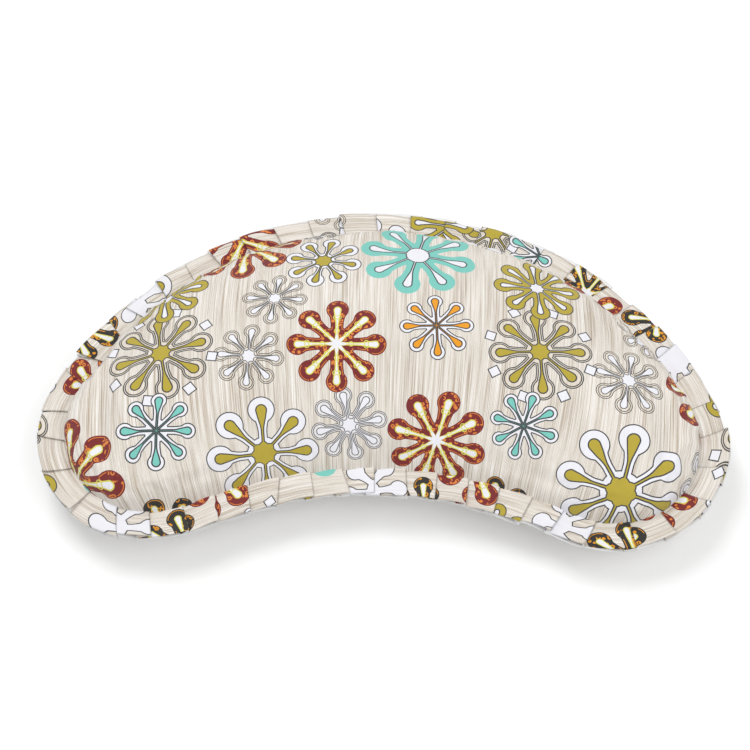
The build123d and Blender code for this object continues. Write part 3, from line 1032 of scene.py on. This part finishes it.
def pleated_strip_group():
    tree, given = new_tree(
        "GeometryNodeTree", "pleated strip",
        {
            "Geometry": ("Geometry", None), "Stretch": ("Float", 0.3), "Pitch": ("Float", 0.03),
            "Layer": ("Float", 0.0007), "Side": ("Float", 1.0), "Height": ("Float", 0.0),
            "Inner": ("Float", -0.0045), "Width": ("Float", 0.025), "Unevenness": ("Float", 1.0),
            "Print across": ("Float", 0.0), "Print along": ("Float", 0.0), "Seed": ("Int", 1),
            "Material": ("Material", None),
        },
        {"Geometry": "Geometry"},
    )
    line = Socket(tree, node(tree, "GeometryNodeMeshToCurve", {"Mesh": given["Geometry"]}).outputs[0])
    count = maths(tree, "ROUND", given["Stretch"] / given["Pitch"])
    pitch = given["Stretch"] / count
    rows = count * STEPS_PER_PLEAT + 1
    grid = node(
        tree, "GeometryNodeMeshGrid",
        {"Size X": 1.0, "Size Y": 1.0, "Vertices X": rows, "Vertices Y": STEPS_ACROSS + 1},
    )
    place = Socket(tree, node(tree, "GeometryNodeInputPosition").outputs[0])
    along, across, _ = components(tree, place)
    cloth = (along + 0.5) * count * CLOTH_PER_PLEAT
    share = across + 0.5
    number = maths(tree, "FLOOR", cloth / CLOTH_PER_PLEAT)
    passed = cloth - number * CLOTH_PER_PLEAT

    # Forward to the fold, then back under it
    forward = number + maths(tree, "MINIMUM", passed, 2 + 2 * FOLD - passed)
    layers = smooth_step(tree, passed, FOLD, 1.0) * 2 - smooth_step(tree, passed, 1.28, 1.36)
    layers = layers - smooth_step(tree, passed, 1.36, 1.6)
    window = smooth_step(tree, passed, 0.0, 0.6) * (1 - smooth_step(tree, passed, 1.3, 1.6))

    # No two pleats are pressed alike: each has its own slant, width, lift and opening
    uneven = given["Unevenness"]
    slant = random_per_pleat(tree, number, -0.22, 0.22, given["Seed"]) * window * uneven
    wider = random_per_pleat(tree, number, -0.0016, 0.0014, given["Seed"] + 11) * window * uneven
    lift = random_per_pleat(tree, number, -0.0012, 0.0030, given["Seed"] + 23) * window * uneven
    opening = random_per_pleat(tree, number, 0.7, 2.4, given["Seed"] + 37)
    reach = given["Inner"] + (given["Width"] + wider - given["Inner"]) * share
    outer = maths(tree, "MAXIMUM", reach, 0.0) / 0.025
    distance = forward * pitch + slant * maths(tree, "MAXIMUM", reach, 0.0)

    sample = node(tree, "GeometryNodeSampleCurve", {"Curves": line, "Length": distance}, mode="LENGTH")
    tangent = Socket(tree, sample.outputs["Tangent"])
    outward = vector_maths(tree, "CROSS_PRODUCT", tangent, (0, 0, 1))
    on_line = Socket(tree, sample.outputs["Position"])
    ripple = node(tree, "ShaderNodeTexNoise", {"Vector": on_line, "Scale": 22.0, "Detail": 1.0})
    wave = (Socket(tree, ripple.outputs[0]) - 0.5) * 0.007 * outer
    rise = layers * given["Layer"] * (1 + opening * outer * 0.5) * given["Side"]
    height = given["Height"] + rise + lift * outer * outer + wave
    moved = vector_maths(tree, "ADD", on_line, vector_scaled(tree, outward, reach))
    moved = vector_maths(tree, "ADD", moved, vector(tree, 0.0, 0.0, height))

    flat_place = vector(tree, reach + given["Print across"], cloth * pitch + given["Print along"])
    mapped = node(
        tree, "GeometryNodeStoreNamedAttribute", {"Geometry": Socket(tree, grid.outputs["Mesh"]), "Name": "UVMap"},
        data_type="FLOAT2", domain="CORNER",
    )
    value_input = next(i for i in mapped.inputs if i.name == "Value" and i.enabled)
    tree.links.new(flat_place.output, value_input)
    placed = node(tree, "GeometryNodeSetPosition", {"Geometry": Socket(tree, mapped.outputs[0]), "Position": moved})
    flipped = node(tree, "GeometryNodeFlipFaces", {"Mesh": Socket(tree, placed.outputs[0])})
    smooth = node(tree, "GeometryNodeSetShadeSmooth", {0: Socket(tree, flipped.outputs[0])})
    real = node(tree, "GeometryNodeRealizeInstances", {0: Socket(tree, smooth.outputs[0])})
    finished = node(
        tree, "GeometryNodeSetMaterial", {"Geometry": Socket(tree, real.outputs[0]), "Material": given["Material"]}
    )
    finish_tree(tree, Geometry=Socket(tree, finished.outputs[0]))
    return tree


def vector_scaled(tree, value, factor):
    made = node(tree, "ShaderNodeVectorMath", {0: value}, operation="SCALE")
    give(tree, made.inputs["Scale"], factor)
    return Socket(tree, made.outputs["Vector"])


PLEATED_STRIP = pleated_strip_group()


# %% Run a Geometry Nodes group over a mesh and keep the result as a plain mesh
def grown(mesh, group_tree, **values):
    """What the group makes of this mesh, as a new mesh. Inputs are given by label, with _ for spaces."""
    carrier = bpy.data.objects.new("carrier", mesh)
    bpy.context.scene.collection.objects.link(carrier)
    modifier = carrier.modifiers.new("group", "NODES")
    modifier.node_group = group_tree
    for item in group_tree.interface.items_tree:
        label = item.name.replace(" ", "_")
        if item.in_out == "INPUT" and label in values:
            modifier[item.identifier] = values[label]
    made = bpy.data.meshes.new_from_object(carrier.evaluated_get(bpy.context.evaluated_depsgraph_get()))
    bpy.data.objects.remove(carrier)
    return made


def line_mesh(name, points):
    mesh = bpy.data.meshes.new(name)
    mesh.from_pydata([tuple(map(float, p)) for p in points], [(i, i + 1) for i in range(len(points) - 1)], [])
    return mesh


def thickened(obj, thickness):
    modifier = obj.modifiers.new("cloth", "SOLIDIFY")
    modifier.thickness = thickness
    modifier.offset = -1
    mesh = bpy.data.meshes.new_from_object(obj.evaluated_get(bpy.context.evaluated_depsgraph_get()))
    obj.modifiers.clear()
    obj.data = mesh


# %% The frill's five lengths, and the lining under each
BODY_Y = (BACK_Y + BACK_RADIUS + FRONT_Y + FRONT_RADIUS) / 2
PLEAT_PITCH = 0.030
FRILL_WIDTH = 0.025
LINING_WIDTHS = {"right_end": 0.0262, "back_right": 0.0285, "back_left": 0.0275, "left_end": 0.0255, "front": 0.0253}
STRIP_CLOTH = 0.00035

UNEVEN = {"right_end": 1.2, "back_right": 1.0, "back_left": 1.0, "left_end": 1.8, "front": 1.2}

# Where each strip was cut from the printed cloth
PRINT_PLACES = {
    "right_end": (0.085, 0.05),
    "back_right": (0.120, 0.22),
    "back_left": (0.180, 0.33),
    "left_end": (0.082, 0.12),
    "front": (0.078, 0.02),
}
FRILL_LENGTHS = {
    "right_end": (-55, 15),
    "back_right": (15, 90),
    "back_left": (90, 165),
    "left_end": (165, 235),
    "front": (235, 305),
}


def seam_distance_at(angle):
    """How far along the seam lies the direction at this angle, in degrees, from the body's middle."""
    trial = np.linspace(0, SEAM_LENGTH, 6000, endpoint=False)
    points, _ = seam_at(trial)
    turns = np.degrees(np.arctan2(points[:, 1] - BODY_Y, points[:, 0]))
    return trial[np.abs((turns - angle + 180) % 360 - 180).argmin()]


def strip_line(start, length):
    """The seam from start on, as a mesh of short edges, with room for the last fold."""
    distances = start + np.arange(0, length + 0.012, 0.0015)
    points, _ = seam_at(distances)
    return line_mesh("strip line", np.column_stack([points, np.full(len(points), SEAM_HEIGHT)]))


def strip(name, place, seed, side, width, material, node_name):
    start_angle, end_angle = FRILL_LENGTHS[place]
    start = seam_distance_at(start_angle)
    length = (seam_distance_at(end_angle) - start) % SEAM_LENGTH
    mesh = grown(
        strip_line(start, length), PLEATED_STRIP, Stretch=length, Pitch=PLEAT_PITCH, Side=side,
        Height=side * 0.0005, Width=width, Print_across=PRINT_PLACES[place][0], Print_along=PRINT_PLACES[place][1],
        Seed=seed, Unevenness=UNEVEN[place], Material=material,
    )
    made = piece(name, mesh)
    thickened(made, STRIP_CLOTH)
    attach(made, "pillow")
    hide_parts(node_name)
    cloth_length = length * CLOTH_PER_PLEAT
    return made


for seed, place in enumerate(FRILL_LENGTHS, start=1):
    strip(f"pleats_{place}", place, seed, 1.0, FRILL_WIDTH, PRINTED_COTTON, f"frill_{place}")
    strip(
        f"lining_{place}", place, seed, -1.0, LINING_WIDTHS[place], LINING_COTTON,
        f"frill_lining_{place}",
    )

# %% [markdown]
# ## The zip, its stitches and the care label
#
# The zip lies in the plain underside, along the round back. Its tapes are a ribbed weave, its
# teeth and slider are kept from the frame. Each tape is sewn to the cover with a row of stitches,
# and each stitch is a short bowed thread, set along a line by a Geometry Nodes group. The care
# label is a blank satin tag caught in the seam. It hangs down under the frill and curls a little.


# %% Finishes of the zip, the cushion and the label
def ribbed_tape_material():
    material, tree, shader = new_material("zip tape", 0.8, Sheen_Weight=0.1)
    place = Socket(tree, node(tree, "ShaderNodeTexCoord").outputs["Object"])
    x, y, z = components(tree, place)
    away = maths(tree, "SQRT", x * x + (y - BACK_Y) * (y - BACK_Y))
    turn = maths(tree, "ARCTAN2", y - BACK_Y, x)
    ribs = maths(tree, "SINE", turn * (ZIP_RADIUS * 2 * math.pi / 0.0007))
    cords = maths(tree, "SINE", (away - z) * (2 * math.pi / 0.0016))
    height = ribs * 0.5 + cords * 0.35
    # The tape is darker in the troughs between ribs and cords: painted shade.
    colour = ramp(tree, height * 0.5 + 0.5, [(0.2, (0.62, 0.56, 0.47, 1)), (0.8, (0.78, 0.73, 0.64, 1))])
    give(tree, shader.inputs["Base Color"], colour)
    bump(tree, shader, height, 0.00012)
    return material


def speckled_material(name, roughness, dark, light, scale, relief, **settings):
    """One colour, with faint clouds in it and a fine relief, by place on the object."""
    material, tree, shader = new_material(name, roughness, **settings)
    place = Socket(tree, node(tree, "ShaderNodeTexCoord").outputs["Object"])
    clouds = node(tree, "ShaderNodeTexNoise", {"Vector": place, "Scale": scale, "Detail": 5.0})
    value = Socket(tree, clouds.outputs[0])
    give(tree, shader.inputs["Base Color"], ramp(tree, value, [(0.35, dark), (0.65, light)]))
    bump(tree, shader, value, relief)
    return material


FINISHES = {
    "zip_tape": ribbed_tape_material(),
    "nylon_teeth": speckled_material(
        "nylon teeth", 0.35, (0.76, 0.73, 0.67, 1), (0.82, 0.79, 0.73, 1), 900.0, 0.00003, Coat_Weight=0.3
    ),
    "painted_zip_metal": speckled_material(
        "painted zip metal", 0.25, (0.80, 0.78, 0.74, 1), (0.84, 0.82, 0.78, 1), 700.0, 0.00001, Coat_Weight=0.6,
        Coat_Roughness=0.15,
    ),
    "polyester_fibre": speckled_material(
        "polyester fibre", 0.95, (0.78, 0.78, 0.78, 1), (0.88, 0.88, 0.88, 1), 260.0, 0.002, Sheen_Weight=0.3
    ),
    "cushion_case": woven_material("cushion case", (0.76, 0.75, 0.73, 1), (0.86, 0.85, 0.83, 1), 0.5, 0.00015),
    "label_satin": woven_material("label satin", (0.84, 0.84, 0.83, 1), (0.90, 0.90, 0.90, 1), 0.25, 0.00003, 0.45),
}
ZIP_NODES = {
    "zip_tape": ["zip_tape_upper", "zip_tape_lower"],
    "nylon_teeth": ["zip_teeth_upper", "zip_teeth_lower"],
    "painted_zip_metal": ["zip_top_stops", "zip_bottom_stop", "zip_slider", "zip_pull"],
}
for slot_name, node_names in ZIP_NODES.items():
    for node_name in node_names:
        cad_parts[node_name].data.materials.clear()
        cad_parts[node_name].data.materials.append(FINISHES[slot_name])
for cushion_part in (case_top, case_bottom):
    cushion_part.data.materials.append(FINISHES["cushion_case"])
filling.data.materials.append(FINISHES["polyester_fibre"])


# %% Stitches along a line
def stitch_row_group():
    """Threads of one length, evenly along a line. The line's points carry their own direction out of the cloth."""
    tree, given = new_tree(
        "GeometryNodeTree", "stitch row",
        {
            "Geometry": ("Geometry", None), "Pitch": ("Float", 0.003), "Thread": ("Float", 0.00035),
            "Bow": ("Float", 0.00045), "Gap": ("Float", 0.15), "Material": ("Material", None),
        },
        {"Geometry": "Geometry"},
    )
    line = Socket(tree, node(tree, "GeometryNodeMeshToCurve", {"Mesh": given["Geometry"]}).outputs[0])
    places = node(tree, "GeometryNodeCurveToPoints", {"Curve": line, "Length": given["Pitch"]}, mode="LENGTH")
    half = given["Pitch"] * (1 - given["Gap"]) * 0.5
    bowed = node(
        tree, "GeometryNodeCurveQuadraticBezier",
        {
            "Resolution": 6, "Start": vector(tree, half * -1, 0.0, given["Bow"] * -1),
            "Middle": vector(tree, 0.0, 0.0, given["Bow"] * 2), "End": vector(tree, half, 0.0, given["Bow"] * -1),
        },
    )
    round_section = node(tree, "GeometryNodeCurvePrimitiveCircle", {"Resolution": 6, "Radius": given["Thread"] * 0.5})
    thread = node(
        tree, "GeometryNodeCurveToMesh",
        {"Curve": Socket(tree, bowed.outputs[0]), "Profile Curve": Socket(tree, round_section.outputs[0]), "Fill Caps": True},
    )
    outward = node(tree, "GeometryNodeInputNamedAttribute", {"Name": "out"}, data_type="FLOAT_VECTOR")
    upright = node(
        tree, "FunctionNodeAlignEulerToVector", {"Vector": Socket(tree, outward.outputs[0])}, axis="Z"
    )
    turned = node(
        tree, "FunctionNodeAlignEulerToVector",
        {"Rotation": Socket(tree, upright.outputs[0]), "Vector": Socket(tree, places.outputs["Tangent"])},
        axis="X", pivot_axis="Z",
    )
    set_out = node(
        tree, "GeometryNodeInstanceOnPoints",
        {
            "Points": Socket(tree, places.outputs["Points"]), "Instance": Socket(tree, thread.outputs[0]),
            "Rotation": Socket(tree, turned.outputs[0]),
        },
    )
    real = node(tree, "GeometryNodeRealizeInstances", {0: Socket(tree, set_out.outputs[0])})
    finished = node(
        tree, "GeometryNodeSetMaterial", {"Geometry": Socket(tree, real.outputs[0]), "Material": given["Material"]}
    )
    finish_tree(tree, Geometry=Socket(tree, finished.outputs[0]))
    return tree


STITCH_ROW = stitch_row_group()
THREAD_COTTON = speckled_material(
    "sewing thread", 0.7, (0.70, 0.66, 0.58, 1), (0.82, 0.79, 0.72, 1), 1500.0, 0.00005, Sheen_Weight=0.2
)


def stitch_line(points, outward):
    """Several lines of points, each with its directions out of the cloth, as one mesh of edges."""
    joined = np.concatenate(points)
    edges, start = [], 0
    for line in points:
        edges += [(start + i, start + i + 1) for i in range(len(line) - 1)]
        start += len(line)
    mesh = bpy.data.meshes.new("stitch line")
    mesh.from_pydata([tuple(map(float, p)) for p in joined], edges, [])
    mesh.attributes.new("out", "FLOAT_VECTOR", "POINT").data.foreach_set(
        "vector", np.concatenate(outward).astype(np.float32).ravel()
    )
    return mesh


def zip_points(up, out, turns):
    """Points along the zip at this height up the cloth and out of it, and the directions out of the cloth."""
    away = ZIP_RADIUS + DOWNWARDS * up + OUTWARDS * out
    height = ZIP_HEIGHT + OUTWARDS * up - DOWNWARDS * out
    points = np.column_stack([away * np.cos(turns), BACK_Y + away * np.sin(turns), np.full(len(turns), height)])
    outward = np.column_stack([OUTWARDS * np.cos(turns), OUTWARDS * np.sin(turns), np.full(len(turns), -DOWNWARDS)])
    return points, outward


turns = np.linspace(ZIP_TURNS[0] + 0.004, ZIP_TURNS[1] - 0.004, 240)
rows = [zip_points(side * 0.0072, 0.0001, turns) for side in (-1, 1)]
for end_turn in (turns[0], turns[-1]):
    across = [zip_points(up, 0.0001, np.array([end_turn])) for up in np.linspace(-0.0072, 0.0072, 8)]
    rows.append((np.concatenate([p for p, _ in across]), np.concatenate([o for _, o in across])))
zip_stitches = piece(
    "zip_stitches",
    grown(stitch_line([p for p, _ in rows], [o for _, o in rows]), STITCH_ROW, Pitch=0.0028, Material=THREAD_COTTON),
)
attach(zip_stitches, "pillow")
print("zip stitches:", len(zip_stitches.data.polygons), "faces")

# %% The care label, a curling satin tag
LABEL_TURN = math.radians(141)
LABEL_SIZE = (0.026, 0.032)
LABEL_CLOTH = 0.0004


def label_surface(columns=26, rows=32):
    """A tag that leaves the seam, bends over it and hangs down, with a curl at its lower corners."""
    points, flat, faces = [], [], []
    along = np.array([-math.sin(LABEL_TURN), math.cos(LABEL_TURN)])
    outward = np.array([math.cos(LABEL_TURN), math.sin(LABEL_TURN)])
    for row in range(rows + 1):
        down = row / rows
        for column in range(columns + 1):
            side = column / columns - 0.5
            stand = 0.0012 + 0.004 * math.sin(down * math.pi * 0.9) + 0.005 * down**3 * abs(side) * 2
            stand += 0.0009 * math.sin(down * 5.0 + side * 4.0) * down
            middle = np.array([0, BACK_Y]) + outward * (BACK_RADIUS + stand)
            x, y = middle + along * side * LABEL_SIZE[0] * (1 - 0.02 * down)
            points.append((x, y, SEAM_HEIGHT - 0.0012 - down * LABEL_SIZE[1] * 0.97))
            flat.append((side * LABEL_SIZE[0], -down * LABEL_SIZE[1]))
    step = columns + 1
    for row in range(rows):
        for column in range(columns):
            first = row * step + column
            faces.append((first, first + 1, first + step + 1, first + step))
    return np.array(points), np.array(flat), faces


label_points, label_flat, label_faces = label_surface()
care_label = piece("satin_label", mesh_of("satin_label", label_points, label_faces))
write_flat_map(care_label.data, label_flat)
care_label.data.materials.append(FINISHES["label_satin"])
for polygon in care_label.data.polygons:
    polygon.use_smooth = True
thickened(care_label, LABEL_CLOTH)
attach(care_label, "pillow")
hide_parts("care_label")

# %% [markdown]
# ## Floor, light and camera
#
# The pillow lies on a plain white floor under an even studio light. A weak key light from behind
# on the left leaves a soft shadow under the near edge and the right end.


# %% Stage
def add_to_scene(obj):
    bpy.context.scene.collection.objects.link(obj)
    return obj


floor_half = 4.0
corners = [(-floor_half, -floor_half, 0), (floor_half, -floor_half, 0), (floor_half, floor_half, 0), (-floor_half, floor_half, 0)]
floor = add_to_scene(bpy.data.objects.new("floor", mesh_of("floor", corners, [(0, 1, 2, 3)])))
floor.data.materials.append(
    speckled_material("white floor", 0.9, (0.93, 0.93, 0.93, 1), (0.95, 0.95, 0.95, 1), 6.0, 0.00001, Specular_IOR_Level=0.1)
)
floor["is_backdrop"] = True


def area_light(name, place, size, power):
    light = bpy.data.lights.new(name, "AREA")
    light.size = size
    light.energy = power
    made = add_to_scene(bpy.data.objects.new(name, light))
    made.location = place
    made.rotation_euler = Vector(place).to_track_quat("Z", "Y").to_euler()
    return made


area_light("key", (-0.6, 0.5, 2.0), 0.9, 17.0)
area_light("fill", (0.9, -0.7, 1.9), 1.4, 13.0)
world = bpy.data.worlds.new("studio")
world.use_nodes = True
world.node_tree.nodes["Background"].inputs["Color"].default_value = (1.0, 1.0, 1.0, 1)
world.node_tree.nodes["Background"].inputs["Strength"].default_value = 0.66
bpy.context.scene.world = world
bpy.context.scene.view_settings.view_transform = "Standard"

# %% Camera
CAMERA_TURN = math.radians(1.5)
CAMERA_RISE = math.radians(59.7)
CAMERA_AWAY = 1.494

lens = bpy.data.cameras.new("camera")
lens.sensor_width = 36.0
lens.lens = 75.4
lens.shift_x = -0.0116
lens.shift_y = -0.0059
camera = add_to_scene(bpy.data.objects.new("camera", lens))
towards_camera = Vector(
    (
        math.sin(CAMERA_TURN) * math.cos(CAMERA_RISE),
        -math.cos(CAMERA_TURN) * math.cos(CAMERA_RISE),
        math.sin(CAMERA_RISE),
    )
)
camera.location = Vector((0, 0, SEAM_HEIGHT)) + towards_camera * CAMERA_AWAY
camera.rotation_euler = towards_camera.to_track_quat("Z", "Y").to_euler()
bpy.context.scene.camera = camera

# %% Size of the model, and finish
plain_box = lambda box: [[float(value) for value in corner] for corner in box]
{"cad_box": plain_box(cad_box), "visual_box": plain_box(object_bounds())}
print("visual box", plain_box(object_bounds()))
